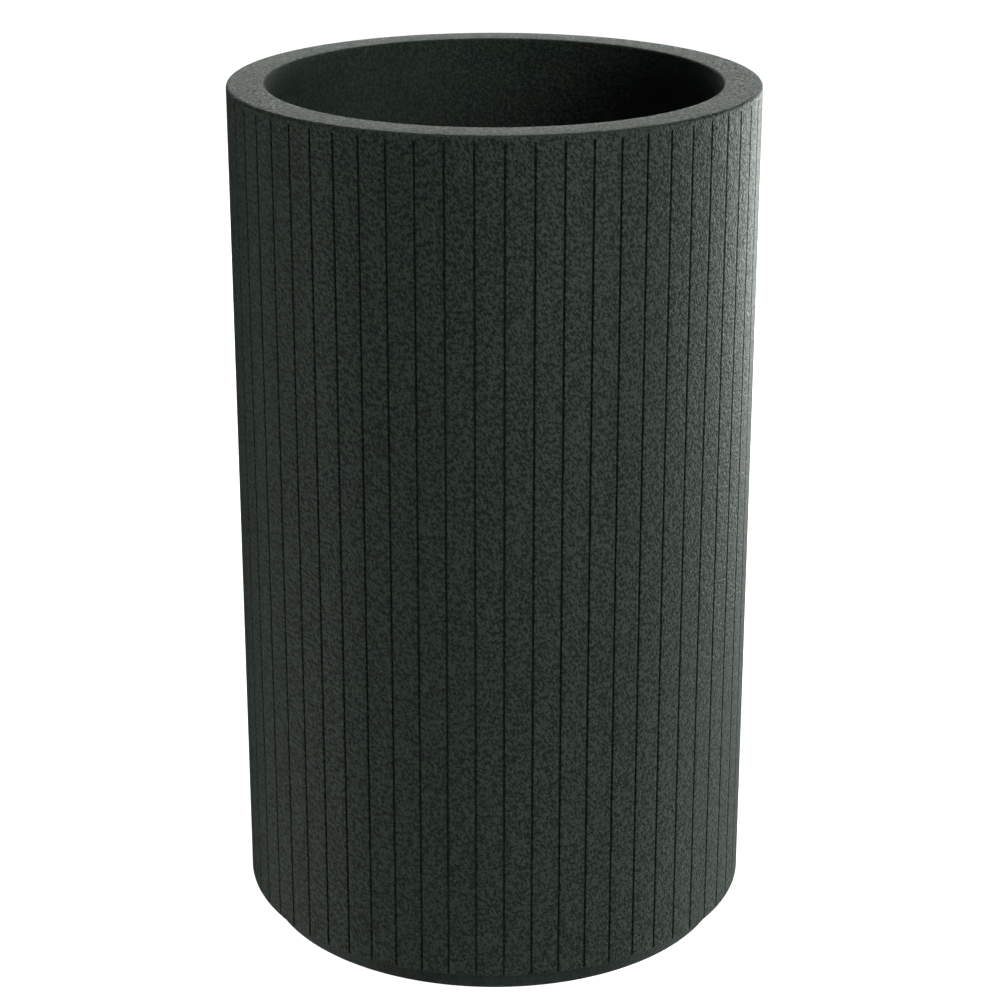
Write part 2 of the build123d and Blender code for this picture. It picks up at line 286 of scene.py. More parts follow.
looks = dict(
    # basePlastic is darker than the shell's plastic: painted shade for the plinth set back under the wall
    basePlastic=dict(color=(0.014, 0.0215, 0.0180, 1), pale=(0.030, 0.044, 0.0375, 1), roughness=0.55,
                     grain=2.2 * mm, depth=0.5 * mm, clouds=40 * mm, speckle=3.5, specular=0.25),
    linerPlastic=dict(color=(0.030, 0.032, 0.033, 1), pale=(0.042, 0.045, 0.046, 1), roughness=0.46,
                      grain=0.5 * mm, depth=0.03 * mm, clouds=45 * mm),
    gridPlastic=dict(color=(0.052, 0.055, 0.056, 1), pale=(0.070, 0.074, 0.075, 1), roughness=0.5,
                     grain=0.5 * mm, depth=0.03 * mm, clouds=30 * mm),
    handlePlastic=dict(color=(0.040, 0.042, 0.043, 1), pale=(0.055, 0.058, 0.059, 1), roughness=0.4,
                       grain=0.4 * mm, depth=0.02 * mm, clouds=20 * mm, flow=(0.15, 1, 1)),
    padRubber=dict(color=(0.020, 0.020, 0.020, 1), pale=(0.030, 0.030, 0.029, 1), roughness=0.75,
                   grain=0.35 * mm, depth=0.05 * mm, clouds=9 * mm, specular=0.35),
    plugRubber=dict(color=(0.032, 0.033, 0.033, 1), pale=(0.043, 0.044, 0.044, 1), roughness=0.65,
                    grain=0.35 * mm, depth=0.03 * mm, clouds=9 * mm, specular=0.4),
    sealRubber=dict(color=(0.016, 0.016, 0.016, 1), pale=(0.022, 0.022, 0.022, 1), roughness=0.7,
                    grain=0.35 * mm, depth=0.02 * mm, clouds=14 * mm, specular=0.4),
    screwZinc=dict(color=(0.50, 0.50, 0.49, 1), pale=(0.62, 0.62, 0.60, 1), roughness=0.32, metallic=1.0,
                   grain=0.25 * mm, depth=0.01 * mm, clouds=3 * mm, flow=(1, 1, 1)),
)
finishes = {name: mouldedFinish(name, look) for name, look in looks.items()}
print("finishes made")


# Meshes
weld = 0.002 * mm


def moved(x, y, z):
    return Matrix.Translation((x, y, z))


def curveBit(centre, radius, start, stop, steps):  # points on an arc of an outline, in (radius, height)
    return [
        (centre[0] + radius * cos(radians(a)), centre[1] + radius * sin(radians(a)))
        for a in (start + (stop - start) * k / steps for k in range(steps + 1))
    ]


def turnedMesh(name, outline, steps, closed=True):  # outline turned about Z; outlines run anticlockwise
    builder = bmesh.new()
    rings = []
    for r, z in outline:
        count = steps if r > 1e-7 else 1
        rings.append([builder.verts.new((r * cos(2 * pi * k / steps), r * sin(2 * pi * k / steps), z))
                      for k in range(count)])
    pairs = list(zip(rings, rings[1:])) + ([(rings[-1], rings[0])] if closed else [])
    for low, high in pairs:
        if len(low) == 1 and len(high) == 1:
            continue
        for k in range(steps):
            corners = [low[k % len(low)], low[(k + 1) % len(low)]]
            corners += [high[(k + 1) % len(high)], high[k % len(high)]]
            unique = list(dict.fromkeys(corners))
            if len(unique) > 2:
                builder.faces.new(unique)
    return meshFrom(name, builder)


def meshFrom(name, builder):
    mesh = bpy.data.meshes.new(name)
    builder.to_mesh(mesh)
    builder.free()
    return mesh


def skinRings(builder, rings):  # a tube through rings of points, closed at both ends
    for first, second in zip(rings, rings[1:]):
        for k in range(len(first)):
            after = (k + 1) % len(first)
            builder.faces.new((first[k], first[after], second[after], second[k]))
    builder.faces.new(rings[0][::-1])
    builder.faces.new(rings[-1])


def blockMesh(name, size, bevel):  # a soft-edged block, its length along X from 0, standing on z 0
    builder = bmesh.new()
    bmesh.ops.create_cube(builder, size=1.0)
    for v in builder.verts:
        v.co = Vector(((v.co.x + 0.5) * size[0], v.co.y * size[1], (v.co.z + 0.5) * size[2]))
    bmesh.ops.bevel(builder, geom=list(builder.edges), offset=bevel, segments=2, profile=0.5, affect="EDGES")
    return meshFrom(name, builder)


def finishMesh(mesh, angle=32):  # doubles merged, faces turned outward, smooth with crisp corners
    builder = bmesh.new()
    builder.from_mesh(mesh)
    bmesh.ops.remove_doubles(builder, verts=list(builder.verts), dist=weld)
    bmesh.ops.recalc_face_normals(builder, faces=list(builder.faces))
    builder.to_mesh(mesh)
    builder.free()
    for face in mesh.polygons:
        face.use_smooth = True
    mesh.set_sharp_from_angle(angle=radians(angle))
    mesh.update()


def newPiece(name, mesh, finish):
    piece = bpy.data.objects.new(name, mesh)
    scene.collection.objects.link(piece)
    mesh.materials.clear()
    mesh.materials.append(finish)
    return piece


# Node trees


def newTree(name, inputs):
    tree = bpy.data.node_groups.new(name, "GeometryNodeTree")
    tree.interface.new_socket("Geometry", in_out="INPUT", socket_type="NodeSocketGeometry")
    for label, kind in inputs.items():
        tree.interface.new_socket(label, in_out="INPUT", socket_type="NodeSocket" + kind)
    tree.interface.new_socket("Geometry", in_out="OUTPUT", socket_type="NodeSocketGeometry")
    board = Board(tree)
    return tree, board, board.node("NodeGroupInput")


def closeTree(board, shape, finish):  # every tree ends the same way
    real = board.node("GeometryNodeRealizeInstances", {}, {"Geometry": shape})
    welded = board.node("GeometryNodeMergeByDistance", {}, {"Geometry": real, "Distance": weld})
    painted = board.node("GeometryNodeSetMaterial", {}, {"Geometry": welded, "Material": finish})
    board.node("NodeGroupOutput", {}, {"Geometry": painted})


def growPiece(name, seed, tree, values):  # runs a tree on a seed mesh and keeps the plain result
    piece = bpy.data.objects.new(name, seed)
    scene.collection.objects.link(piece)
    modifier = piece.modifiers.new("shape", "NODES")
    modifier.node_group = tree
    for item in tree.interface.items_tree:
        if item.item_type == "SOCKET" and item.in_out == "INPUT" and item.name in values:
            modifier[item.identifier] = values[item.name]
    grown = piece.evaluated_get(bpy.context.evaluated_depsgraph_get())
    mesh = bpy.data.meshes.new_from_object(grown)
    piece.modifiers.remove(modifier)
    piece.data = mesh
    mesh.name = name
    finishMesh(mesh)
    return piece


def ringTree():  # copies of the seed turned evenly about Z
    tree, board, given = newTree("roundPattern", {
        "Count": "Int", "Start Angle": "Float", "Finish": "Material"})
    count = given.out("Count")
    turn = board.node("GeometryNodeInputIndex") * (2 * pi) / count + given.out("Start Angle")
    points = board.node("GeometryNodePoints", {}, {"Count": count})
    lean = board.node("ShaderNodeCombineXYZ", {}, {"Z": turn})
    copies = board.node(
        "GeometryNodeInstanceOnPoints",
        {},
        {"Points": points, "Instance": given.out("Geometry"), "Rotation": board.node(
            "FunctionNodeEulerToRotation", {}, {"Euler": lean})},
    )
    closeTree(board, copies, given.out("Finish"))
    return tree


def staveTree():  # the seed's outline turned about Z, with one groove at each stave's edge
    tree, board, given = newTree("grooveWall", {
        "Staves": "Int", "Wall Radius": "Float", "Groove Width": "Float", "Groove Depth": "Float",
        "Groove Floor": "Float", "Groove Columns": "Int", "Stave Columns": "Int", "Finish": "Material",
    })
    outline = given.out("Geometry")
    counted = board.node("GeometryNodeAttributeDomainSize", {"component": "MESH"}, {"Geometry": outline})
    rows = counted.out("Point Count")
    half = given.out("Groove Columns") + given.out("Stave Columns")
    grid = board.node(
        "GeometryNodeMeshGrid", {}, {"Vertices X": half * 2.0 + 1.0, "Vertices Y": rows + 1.0})
    index = board.node("GeometryNodeInputIndex")
    column = board.maths("FLOOR", (index + 0.5) / (rows + 1.0))
    row = board.maths("MODULO", index - column * (rows + 1.0), rows)
    place = board.node("GeometryNodeSampleIndex", {"data_type": "FLOAT_VECTOR", "domain": "POINT"},
                       {"Geometry": outline, "Value": board.node("GeometryNodeInputPosition"), "Index": row})
    split = board.node("ShaderNodeSeparateXYZ", {}, {"Vector": place})
    carve = board.node("GeometryNodeSampleIndex", {"data_type": "FLOAT", "domain": "POINT"}, {
        "Geometry": outline, "Index": row,
        "Value": board.node("GeometryNodeInputNamedAttribute", {"data_type": "FLOAT"}, {"Name": "carve"}),
    })
    # how far a column lies from its groove's centre line, along the wall
    fromEdge = board.maths("MINIMUM", column, half * 2.0 - column)
    inGroove = board.maths("MINIMUM", fromEdge / given.out("Groove Columns"), 1.0)
    pastGroove = (fromEdge - given.out("Groove Columns")) / given.out("Stave Columns")
    onStave = board.maths("MAXIMUM", pastGroove, 0.0)
    halfGroove = given.out("Groove Width") * 0.5
    halfStave = given.out("Wall Radius") * pi / given.out("Staves")
    reach = inGroove * halfGroove + onStave * onStave * (halfStave - halfGroove)
    flat = given.out("Groove Floor") / given.out("Groove Width")
    cut = board.between(inGroove, flat, 1.0, 1.0, 0.0, "SMOOTHERSTEP")
    target = given.out("Wall Radius") - given.out("Groove Depth") * cut
    outer = split.out("X")
    radius = outer + carve * (board.maths("MINIMUM", outer, target) - outer)
    side = board.maths("COMPARE", column, board.maths("MAXIMUM", column, half), 0.1)
    angle = (reach + side * 2.0 * (halfStave - reach)) / given.out("Wall Radius")
    turned = board.node("ShaderNodeCombineXYZ", {}, {
        "X": radius * board.maths("COSINE", angle),
        "Y": radius * board.maths("SINE", angle),
        "Z": split.out("Z"),
    })
    stave = board.node("GeometryNodeSetPosition", {}, {"Geometry": grid, "Position": turned})
    points = board.node("GeometryNodePoints", {}, {"Count": given.out("Staves")})
    lean = board.node("ShaderNodeCombineXYZ", {}, {
        "Z": board.node("GeometryNodeInputIndex") * (2 * pi) / given.out("Staves")})
    copies = board.node("GeometryNodeInstanceOnPoints", {}, {
        "Points": points, "Instance": stave,
        "Rotation": board.node("FunctionNodeEulerToRotation", {}, {"Euler": lean})})
    closeTree(board, copies, given.out("Finish"))
    return tree


def plateTree():  # a round plate with rings of holes, joined to the seed
    tree, board, given = newTree("perforatedPlate", {
        "Plate Radius": "Float", "Underside": "Float", "Thickness": "Float", "Edge Points": "Int",
        "Hole Radius": "Float", "Hole Points": "Int", "Open Edge": "Bool", "Hole Places": "Object",
        "Finish": "Material",
    })
    rim = board.node("GeometryNodeCurvePrimitiveCircle", {"mode": "RADIUS"}, {
        "Resolution": given.out("Edge Points"), "Radius": given.out("Plate Radius")})
    hole = board.node("GeometryNodeCurvePrimitiveCircle", {"mode": "RADIUS"}, {
        "Resolution": given.out("Hole Points"), "Radius": given.out("Hole Radius")})
    places = board.node("GeometryNodeObjectInfo", {}, {"Object": given.out("Hole Places")}).out("Geometry")
    holes = board.node("GeometryNodeInstanceOnPoints", {}, {"Points": places, "Instance": hole})
    both = board.node("GeometryNodeJoinGeometry")
    for curve in (rim, board.node("GeometryNodeRealizeInstances", {}, {"Geometry": holes})):
        board.feed(both.socket.node.inputs[0], curve)
    face = board.node("GeometryNodeFillCurve", {"mode": "TRIANGLES"}, {"Curve": both})
    lift = board.node("ShaderNodeCombineXYZ", {}, {"Z": given.out("Underside")})
    lower = board.node("GeometryNodeTransform", {}, {"Geometry": face, "Translation": lift})
    raised = board.node("GeometryNodeExtrudeMesh", {"mode": "FACES"}, {
        "Mesh": lower, "Offset": (0, 0, 1), "Offset Scale": given.out("Thickness"), "Individual": False})
    flipped = board.node("GeometryNodeFlipFaces", {}, {"Mesh": lower})
    plate = board.node("GeometryNodeJoinGeometry")
    for bit in (raised, flipped):
        board.feed(plate.socket.node.inputs[0], bit)
    place = board.node("ShaderNodeSeparateXYZ", {}, {"Vector": board.node("GeometryNodeInputPosition")})
    away = board.maths("SQRT", place.out("X") * place.out("X") + place.out("Y") * place.out("Y"))
    atEdge = board.maths("GREATER_THAN", away, given.out("Plate Radius") * 0.9985) * given.out("Open Edge")
    normal = board.node("ShaderNodeSeparateXYZ", {}, {"Vector": board.node("GeometryNodeInputNormal")})
    upright = board.maths("LESS_THAN", board.maths("ABSOLUTE", normal.out("Z")), 0.5)
    trimmed = board.node("GeometryNodeDeleteGeometry", {"domain": "FACE", "mode": "ALL"}, {
        "Geometry": plate, "Selection": board.node("FunctionNodeBooleanMath", {"operation": "AND"}, {
            0: atEdge, 1: upright})})
    joined = board.node("GeometryNodeJoinGeometry")
    for bit in (trimmed, given.out("Geometry")):
        board.feed(joined.socket.node.inputs[0], bit)
    closeTree(board, joined, given.out("Finish"))
    return tree


patternTree = ringTree()
wallTree = staveTree()
holeTree = plateTree()
print("node trees built")


def ringOfCopies(name, seed, count, startAngle, finish):
    return growPiece(name, seed, patternTree, {"Count": count, "Start Angle": startAngle, "Finish": finish})


# Outer shell: grooved wall, rim, collar and ledge in one moulding
shellLow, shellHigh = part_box("outer_shell")
shell = dict(
    wall=4 * mm,
    rimWidth=26 * mm,
    rimThick=4 * mm,
    rimEdge=2.5 * mm,
    innerEdge=1.6 * mm,
    footEdge=1.5 * mm,
    insideEdge=0.8 * mm,
    staves=60,
    grooveWidth=1.8 * mm,
    grooveFloor=0.6 * mm,
    grooveDepth=1.4 * mm,
    grooveTopGap=4.5 * mm,
    grooveEnd=((-0.55, 1.0), (-0.2, 0.78), (0.0, 0.25), (0.12, 0.0)),
    grooveColumns=8,
    staveColumns=3,
    collarWall=4 * mm,
    collarCorner=2 * mm,
    collarDepth=92 * mm,
    ledge=14 * mm,
    ledgeThick=4 * mm,
    ledgeEdge=1 * mm,
    webs=12,
    webThick=2.5 * mm,
    webEdge=0.3 * mm,
    webHeight=66 * mm,
    sink=0.5 * mm,
    bossSink=1 * mm,
    bosses=8,
    bossRadius=5 * mm,
    bossEdge=0.6 * mm,
    bossSteps=28,
    bossBore=2.05 * mm,
    bossCircle=155 * mm,
    bossHeight=34 * mm,
    bossBoreDepth=19 * mm,
    bossWeb=3 * mm,
    bossWebGap=10.5 * mm,
    floorThick=4 * mm,
)
outerRadius = shellHigh.x
rimTop = shellHigh.z
shellFoot = shellLow.z
floorTop = shellFoot + shell["floorThick"]
collarRadius = outerRadius - shell["rimWidth"]
ledgeRadius = collarRadius - shell["ledge"]
ledgeUnder = rimTop - shell["collarDepth"]
ledgeTop = ledgeUnder + shell["ledgeThick"]
wallInside = outerRadius - shell["wall"]


def shellOutline():
    s = shell
    edge, foot, inner = s["rimEdge"], s["footEdge"], s["innerEdge"]
    soft, lip, corner = s["insideEdge"], s["ledgeEdge"], s["collarCorner"]
    grooveTop = rimTop - s["grooveTopGap"]
    rows = [(r, z, 1.0) for r, z in curveBit((outerRadius - foot, shellFoot + foot), foot, -90, 0, 5)]
    rows += [(outerRadius, grooveTop + dz * mm, carve) for dz, carve in s["grooveEnd"]]
    rows += [(r, z, 0.0) for r, z in (
        curveBit((outerRadius - edge, rimTop - edge), edge, 0, 90, 7)
        + curveBit((collarRadius + inner, rimTop - inner), inner, 90, 180, 6)
        + curveBit((collarRadius - corner, ledgeTop + corner), corner, 0, -90, 4)
        + curveBit((ledgeRadius + lip, ledgeTop - lip), lip, 90, 180, 3)
        + curveBit((ledgeRadius + lip, ledgeUnder + lip), lip, 180, 270, 3)
        + [(collarRadius + s["collarWall"], ledgeUnder)]
        + curveBit((collarRadius + s["collarWall"] + soft, rimTop - s["rimThick"] - soft), soft, 180, 90, 2)
        + curveBit((wallInside - soft, rimTop - s["rimThick"] - soft), soft, 90, 0, 2)
        + curveBit((wallInside + soft, shellFoot + soft), soft, 180, 270, 2)
    )]
    return rows


def makeShell():
    rows = shellOutline()
    seed = bpy.data.meshes.new("shellOutline")
    seed.from_pydata([(r, 0, z) for r, z, carve in rows], [], [])
    seed.attributes.new("carve", "FLOAT", "POINT").data.foreach_set("value", [carve for r, z, carve in rows])
    return growPiece("outerShell", seed, wallTree, {
        "Staves": shell["staves"],
        "Wall Radius": outerRadius,
        "Groove Width": shell["grooveWidth"],
        "Groove Depth": shell["grooveDepth"],
        "Groove Floor": shell["grooveFloor"],
        "Groove Columns": shell["grooveColumns"],
        "Stave Columns": shell["staveColumns"],
        "Finish": shellFinish(shellLook, shell, outerRadius, rimTop),
    })


shellPiece = makeShell()
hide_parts("outer_shell")
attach(shellPiece, "planter")
shellMaterial = shellPiece.data.materials[0]


def makeWebs():
    sink = shell["sink"]  # how far a web goes into what it joins
    start = collarRadius + shell["collarWall"] - sink
    length = wallInside + sink - start
    seed = blockMesh("web", (length, shell["webThick"], shell["webHeight"] + sink), shell["webEdge"])
    seed.transform(moved(start, 0, rimTop - shell["rimThick"] - shell["webHeight"]))
    return ringOfCopies("rimWebs", seed, shell["webs"], pi / shell["webs"], shellMaterial)


def makeBosses():
    s = shell
    top, edge = floorTop + s["bossHeight"], s["bossEdge"]
    outline = (
        [(s["bossBore"], floorTop), (s["bossRadius"], floorTop)]
        + curveBit((s["bossRadius"] - edge, top - edge), edge, 0, 90, 3)
        + [(0, top), (0, floorTop + s["bossBoreDepth"]), (s["bossBore"], floorTop + s["bossBoreDepth"])]
    )
    builder = bmesh.new()
    builder.from_mesh(turnedMesh("boss", outline, s["bossSteps"]))
    builder.transform(moved(s["bossCircle"], 0, 0))
    start = s["bossCircle"] + s["bossRadius"] - s["bossSink"]
    size = (wallInside + s["sink"] - start, s["bossWeb"], s["bossHeight"] - s["bossWebGap"])
    web = blockMesh("bossWeb", size, s["webEdge"])
    web.transform(moved(start, 0, floorTop + s["bossWebGap"]))
    builder.from_mesh(web)
    seed = meshFrom("bossAndWeb", builder)
    return ringOfCopies("screwBosses", seed, s["bosses"], pi / s["bosses"], shellMaterial)


for piece in (makeWebs(), makeBosses()):
    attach(piece, "planter")
print("shell made")

# Base: recessed plinth, floor, spigot, ribs and pad seats
baseLow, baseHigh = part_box("base_plinth")
base = dict(
    plinthRadius=167.5 * mm,
    plinthWall=4 * mm,
    edge=1 * mm,
    innerEdge=0.5 * mm,
    steps=240,
    spigotWall=5.8 * mm,
    spigotFoot=0.3 * mm,
    spigotEdge=0.8 * mm,
    sealLow=24.45 * mm,
    sealHigh=28.05 * mm,
    sealDepth=2.6 * mm,
    ringRadius=111 * mm,
    ribThick=2.5 * mm,
    ribEdge=0.4 * mm,
    ribs=12,
    ribFoot=5 * mm,
    sideSink=1 * mm,
    topSink=0.5 * mm,
    drain=10 * mm,
    sumpRadius=15.6 * mm,
    sumpDepth=3 * mm,
    drainWall=4 * mm,
    padCircle=138 * mm,
    padSeat=13 * mm,
    padWall=3 * mm,
    padDepth=2.5 * mm,
    pads=4,
)


def makeBase():
    b = base
    skirtFoot, plateLow, spigotRadius, spigotTop = baseLow.z, shellFoot, baseHigh.x, baseHigh.z
    inner = b["plinthRadius"] - b["plinthWall"]
    footEdge, lip, topEdge = b["innerEdge"], b["spigotFoot"], b["spigotEdge"]
    bossRadius = b["sumpRadius"] + b["drainWall"]
    outline = (
        [(b["drain"], b["ribFoot"]), (bossRadius, b["ribFoot"]), (bossRadius, plateLow)]
        + [(b["ringRadius"] - b["ribThick"], plateLow), (b["ringRadius"] - b["ribThick"], b["ribFoot"])]
        + [(b["ringRadius"], b["ribFoot"]), (b["ringRadius"], plateLow)]
        + [(inner, plateLow)]
        + curveBit((inner + footEdge, skirtFoot + footEdge), footEdge, 180, 270, 2)
        + curveBit((b["plinthRadius"] - b["edge"], skirtFoot + b["edge"]), b["edge"], -90, 0, 5)
        + [(b["plinthRadius"], plateLow)]
        + curveBit((spigotRadius - lip, plateLow + lip), lip, -90, 0, 2)
        + [(spigotRadius, b["sealLow"]), (spigotRadius - b["sealDepth"], b["sealLow"])]
        + [(spigotRadius - b["sealDepth"], b["sealHigh"]), (spigotRadius, b["sealHigh"])]
        + curveBit((spigotRadius - topEdge, spigotTop - topEdge), topEdge, 0, 90, 3)
        + curveBit((spigotRadius - b["spigotWall"] + topEdge, spigotTop - topEdge), topEdge, 90, 180, 3)
        + [(spigotRadius - b["spigotWall"], floorTop), (b["sumpRadius"], floorTop)]
        + [(b["sumpRadius"], floorTop - b["sumpDepth"]), (b["drain"], floorTop - b["sumpDepth"])]
    )
    mesh = turnedMesh("basePlinth", outline, b["steps"])
    finishMesh(mesh)
    return newPiece("basePlinth", mesh, finishes["basePlastic"])


def makeRibs():
    b = base
    builder = bmesh.new()
    spans = (
        (b["sumpRadius"] + b["drainWall"], b["ringRadius"] - b["ribThick"]),
        (b["ringRadius"], b["plinthRadius"] - b["plinthWall"]),
    )
    height = shellFoot + b["topSink"] - b["ribFoot"]
    for start, end in spans:
        rib = blockMesh("rib", (end - start + 2 * b["sideSink"], b["ribThick"], height), b["ribEdge"])
        rib.transform(moved(start - b["sideSink"], 0, b["ribFoot"]))
        builder.from_mesh(rib)
    seed = meshFrom("ribPair", builder)
    return ringOfCopies("baseRibs", seed, b["ribs"], pi / b["ribs"], finishes["basePlastic"])


def makePadSeats():
    b = base
    outer, edge = b["padSeat"] + b["padWall"], b["innerEdge"]
    low, top = baseLow.z, shellFoot + b["topSink"]
    outline = (
        curveBit((outer - edge, low + edge), edge, -90, 0, 2)
        + [(outer, top), (0, top), (0, low + b["padDepth"])]
        + [(b["padSeat"], low + b["padDepth"]), (b["padSeat"], low)]
    )
    seed = turnedMesh("padSeat", outline, 48)
    seed.transform(moved(b["padCircle"], 0, 0))
    return ringOfCopies("padSeats", seed, b["pads"], 0.0, finishes["basePlastic"])


basePiece = makeBase()
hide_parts("base_plinth")
for piece in (basePiece, makeRibs(), makePadSeats()):
    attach(piece, "planter")
print("base made")

# Rubber foot pads with shallow grip rings
pad = dict(radius=12.8 * mm, thick=4 * mm, edge=1 * mm, grooves=(4 * mm, 7 * mm, 10 * mm), groove=0.5 * mm)


def makePads():
    outline = [(0, 0)]
    for r in pad["grooves"]:
        outline += [(r - pad["groove"], 0), (r, pad["groove"]), (r + pad["groove"], 0)]
    outline += curveBit((pad["radius"] - pad["edge"], pad["edge"]), pad["edge"], -90, 0, 4)
    outline += [(pad["radius"], pad["thick"]), (0, pad["thick"])]
    seed = turnedMesh("footPad", outline, 48)
    seed.transform(moved(base["padCircle"], 0, 0))
    return ringOfCopies("footPads", seed, base["pads"], 0.0, finishes["padRubber"])


padPiece = makePads()
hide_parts("foot_pad_1", "foot_pad_2", "foot_pad_3", "foot_pad_4")
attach(padPiece, "planter")
print("foot pads made")

# Drain plug: flat head, ribbed shank and a loop to pull it by
plugLow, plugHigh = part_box("drain_plug")
plug = dict(
    shank=9.7 * mm,
    tip=1.5 * mm,
    ridges=(3.2 * mm, 5.6 * mm, 8.0 * mm),
    ridge=0.35 * mm,
    ridgeHalf=0.6 * mm,
    headFoot=0.5 * mm,
    headEdge=0.8 * mm,
    steps=72,
    loopRadius=9 * mm,
    loopSpan=(-8, 188),
    wire=1.6 * mm,
    wireSteps=(32, 16),
)


def plugOutline(head, headLow):
    core, foot, top = plug["shank"] - plug["ridge"], plug["headFoot"], plug["headEdge"]
    outline = [(0, plugLow.z), (core - plug["tip"], plugLow.z), (core, plugLow.z + plug["tip"])]
    for z in plug["ridges"]:
        outline += [(core, plugLow.z + z - plug["ridgeHalf"]), (plug["shank"], plugLow.z + z),
                    (core, plugLow.z + z + plug["ridgeHalf"])]
    outline += [(core, headLow)]
    outline += curveBit((head - foot, headLow + foot), foot, -90, 0, 2)
    outline += curveBit((head - top, floorTop - top), top, 0, 90, 4)
    return outline + [(0, floorTop)]


def makePlug():
    outline = plugOutline(plugHigh.x, floorTop - base["sumpDepth"])
    builder = bmesh.new()
    builder.from_mesh(turnedMesh("plugBody", outline, plug["steps"], closed=False))
    along, around = plug["wireSteps"]
    first, last = plug["loopSpan"]  # the loop's ends go a little way into the head
    rings = []
    for k in range(along + 1):
        a = radians(first + (last - first) * k / along)
        outwardly = Vector((cos(a), 0, sin(a)))
        centre = Vector((0, 0, floorTop)) + plug["loopRadius"] * outwardly
        ring = []
        for j in range(around):
            b = 2 * pi * j / around
            aside = cos(b) * outwardly + sin(b) * Vector((0, 1, 0))
            ring.append(builder.verts.new(centre + plug["wire"] * aside))
        rings.append(ring)
    skinRings(builder, rings)
    mesh = meshFrom("drainPlug", builder)
    finishMesh(mesh, 40)
    return newPiece("drainPlug", mesh, finishes["plugRubber"])


plugPiece = makePlug()
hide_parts("drain_plug")
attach(plugPiece, "drain_plug")
print("plug made")

# Liner: tapered pot, flange, pivot ears and a perforated floor
liner = dict(
    wall=3 * mm,
    mouth=139 * mm,
    bottom=127 * mm,
    depth=300 * mm,
    flange=153 * mm,
    flangeThick=3 * mm,
    flangeEdge=1.2 * mm,
    corner=12 * mm,
    footHeight=4 * mm,
    footWidth=4 * mm,
    footInset=14 * mm,
    footEdge=0.5 * mm,
    mouthEdge=1.5 * mm,
    flangeFoot=0.6 * mm,
    plateEdge=98.5 * mm,
    hole=5 * mm,
    holeSteps=32,
    holeRings=((0, 1), (52 * mm, 6), (92 * mm, 8)),
    steps=192,
    earWidth=10 * mm,
    earThick=3.5 * mm,
    earHeight=8.5 * mm,
    earSink=0.5 * mm,
    boreSteps=24,
    pivotBore=2.55 * mm,
    pivotInset=5 * mm,
    pivotAngle=48,
    knuckle=8.5 * mm,
    earGap=0.3 * mm,
    restGap=0.3 * mm,
    barHalf=3 * mm,
)
linerFloor = ledgeTop - liner["depth"]
flangeTop = ledgeTop + liner["flangeThick"]
handleRadius = (liner["flange"] + liner["mouth"] - liner["wall"]) / 2
pivotX = (handleRadius - liner["pivotInset"]) * cos(radians(liner["pivotAngle"]))
pivotY = (handleRadius - liner["pivotInset"]) * sin(radians(liner["pivotAngle"]))
pivotZ = flangeTop + liner["restGap"] + liner["barHalf"]
earInner = pivotY + liner["knuckle"] / 2 + liner["earGap"]


def holePlaces(name, rings):  # one loose point for each hole
    mesh = bpy.data.meshes.new(name)
    mesh.from_pydata([
        (r * cos(2 * pi * k / count), r * sin(2 * pi * k / count), 0)
        for r, count in rings for k in range(count)
    ], [], [])
    piece = bpy.data.objects.new(name, mesh)
    scene.collection.objects.link(piece)
    return piece


def linerWallRadius(z):
    return liner["bottom"] + (liner["mouth"] - liner["bottom"]) * (z - linerFloor) / liner["depth"]


def linerPot():
    n, corner = liner, liner["corner"]
    low = linerFloor
    outerLow = linerWallRadius(low + corner)
    inner = corner - n["wall"]
    foot, soft, under, brim = outerLow - n["footInset"], n["footEdge"], n["flangeFoot"], n["mouthEdge"]
    outline = (
        [(n["plateEdge"], low), (foot - n["footWidth"], low)]
        + [(foot - n["footWidth"] + soft, low - n["footHeight"])]
        + [(foot - soft, low - n["footHeight"]), (foot, low)]
        + curveBit((outerLow - corner, low + corner), corner, -90, 0, 8)
        + [(n["mouth"], ledgeTop - soft), (n["mouth"] + soft, ledgeTop)]
        + curveBit((n["flange"] - under, ledgeTop + under), under, -90, 0, 2)
        + curveBit((n["flange"] - n["flangeEdge"], flangeTop - n["flangeEdge"]), n["flangeEdge"], 0, 90, 4)
        + curveBit((n["mouth"] - n["wall"] + brim, flangeTop - brim), brim, 90, 180, 5)
        + curveBit((outerLow - n["wall"] - inner, low + corner), inner, 0, -90, 8)
        + [(n["plateEdge"], low + n["wall"])]
    )
    return turnedMesh("potWall", outline, n["steps"], closed=False)


def earBlock(signX, signY):  # an upright lug with a round top and its pivot hole
    n = liner
    half, top, bore = n["earWidth"] / 2, n["earHeight"], n["pivotBore"]
    centreZ = pivotZ - flangeTop
    outline = [(-half, -n["earSink"]), (half, -n["earSink"]), (half, centreZ)]
    for a in range(15, 180, 15):
        outline += [(half * cos(radians(a)), centreZ + (top - centreZ) * sin(radians(a)))]
    outline += [(-half, centreZ)]
    turns = [2 * pi * k / n["boreSteps"] for k in range(n["boreSteps"])]
    hole = [(bore * cos(turn), centreZ + bore * sin(turn)) for turn in turns]
    builder = bmesh.new()
    sides = []
    for y in (0, n["earThick"]):
        loops = [[builder.verts.new((x, y, z)) for x, z in points] for points in (outline, hole)]
        edges = [builder.edges.new((loop[k - 1], loop[k])) for loop in loops for k in range(len(loop))]
        bmesh.ops.triangle_fill(builder, use_beauty=True, use_dissolve=False, edges=edges)
        sides.append(loops)
    for near, far in zip(*sides):
        for k in range(len(near)):
            builder.faces.new((near[k - 1], near[k], far[k], far[k - 1]))
    for v in builder.verts:
        v.co = Vector((signX * (pivotX + v.co.x), signY * (earInner + v.co.y), flangeTop + v.co.z))
    return meshFrom("ear", builder)


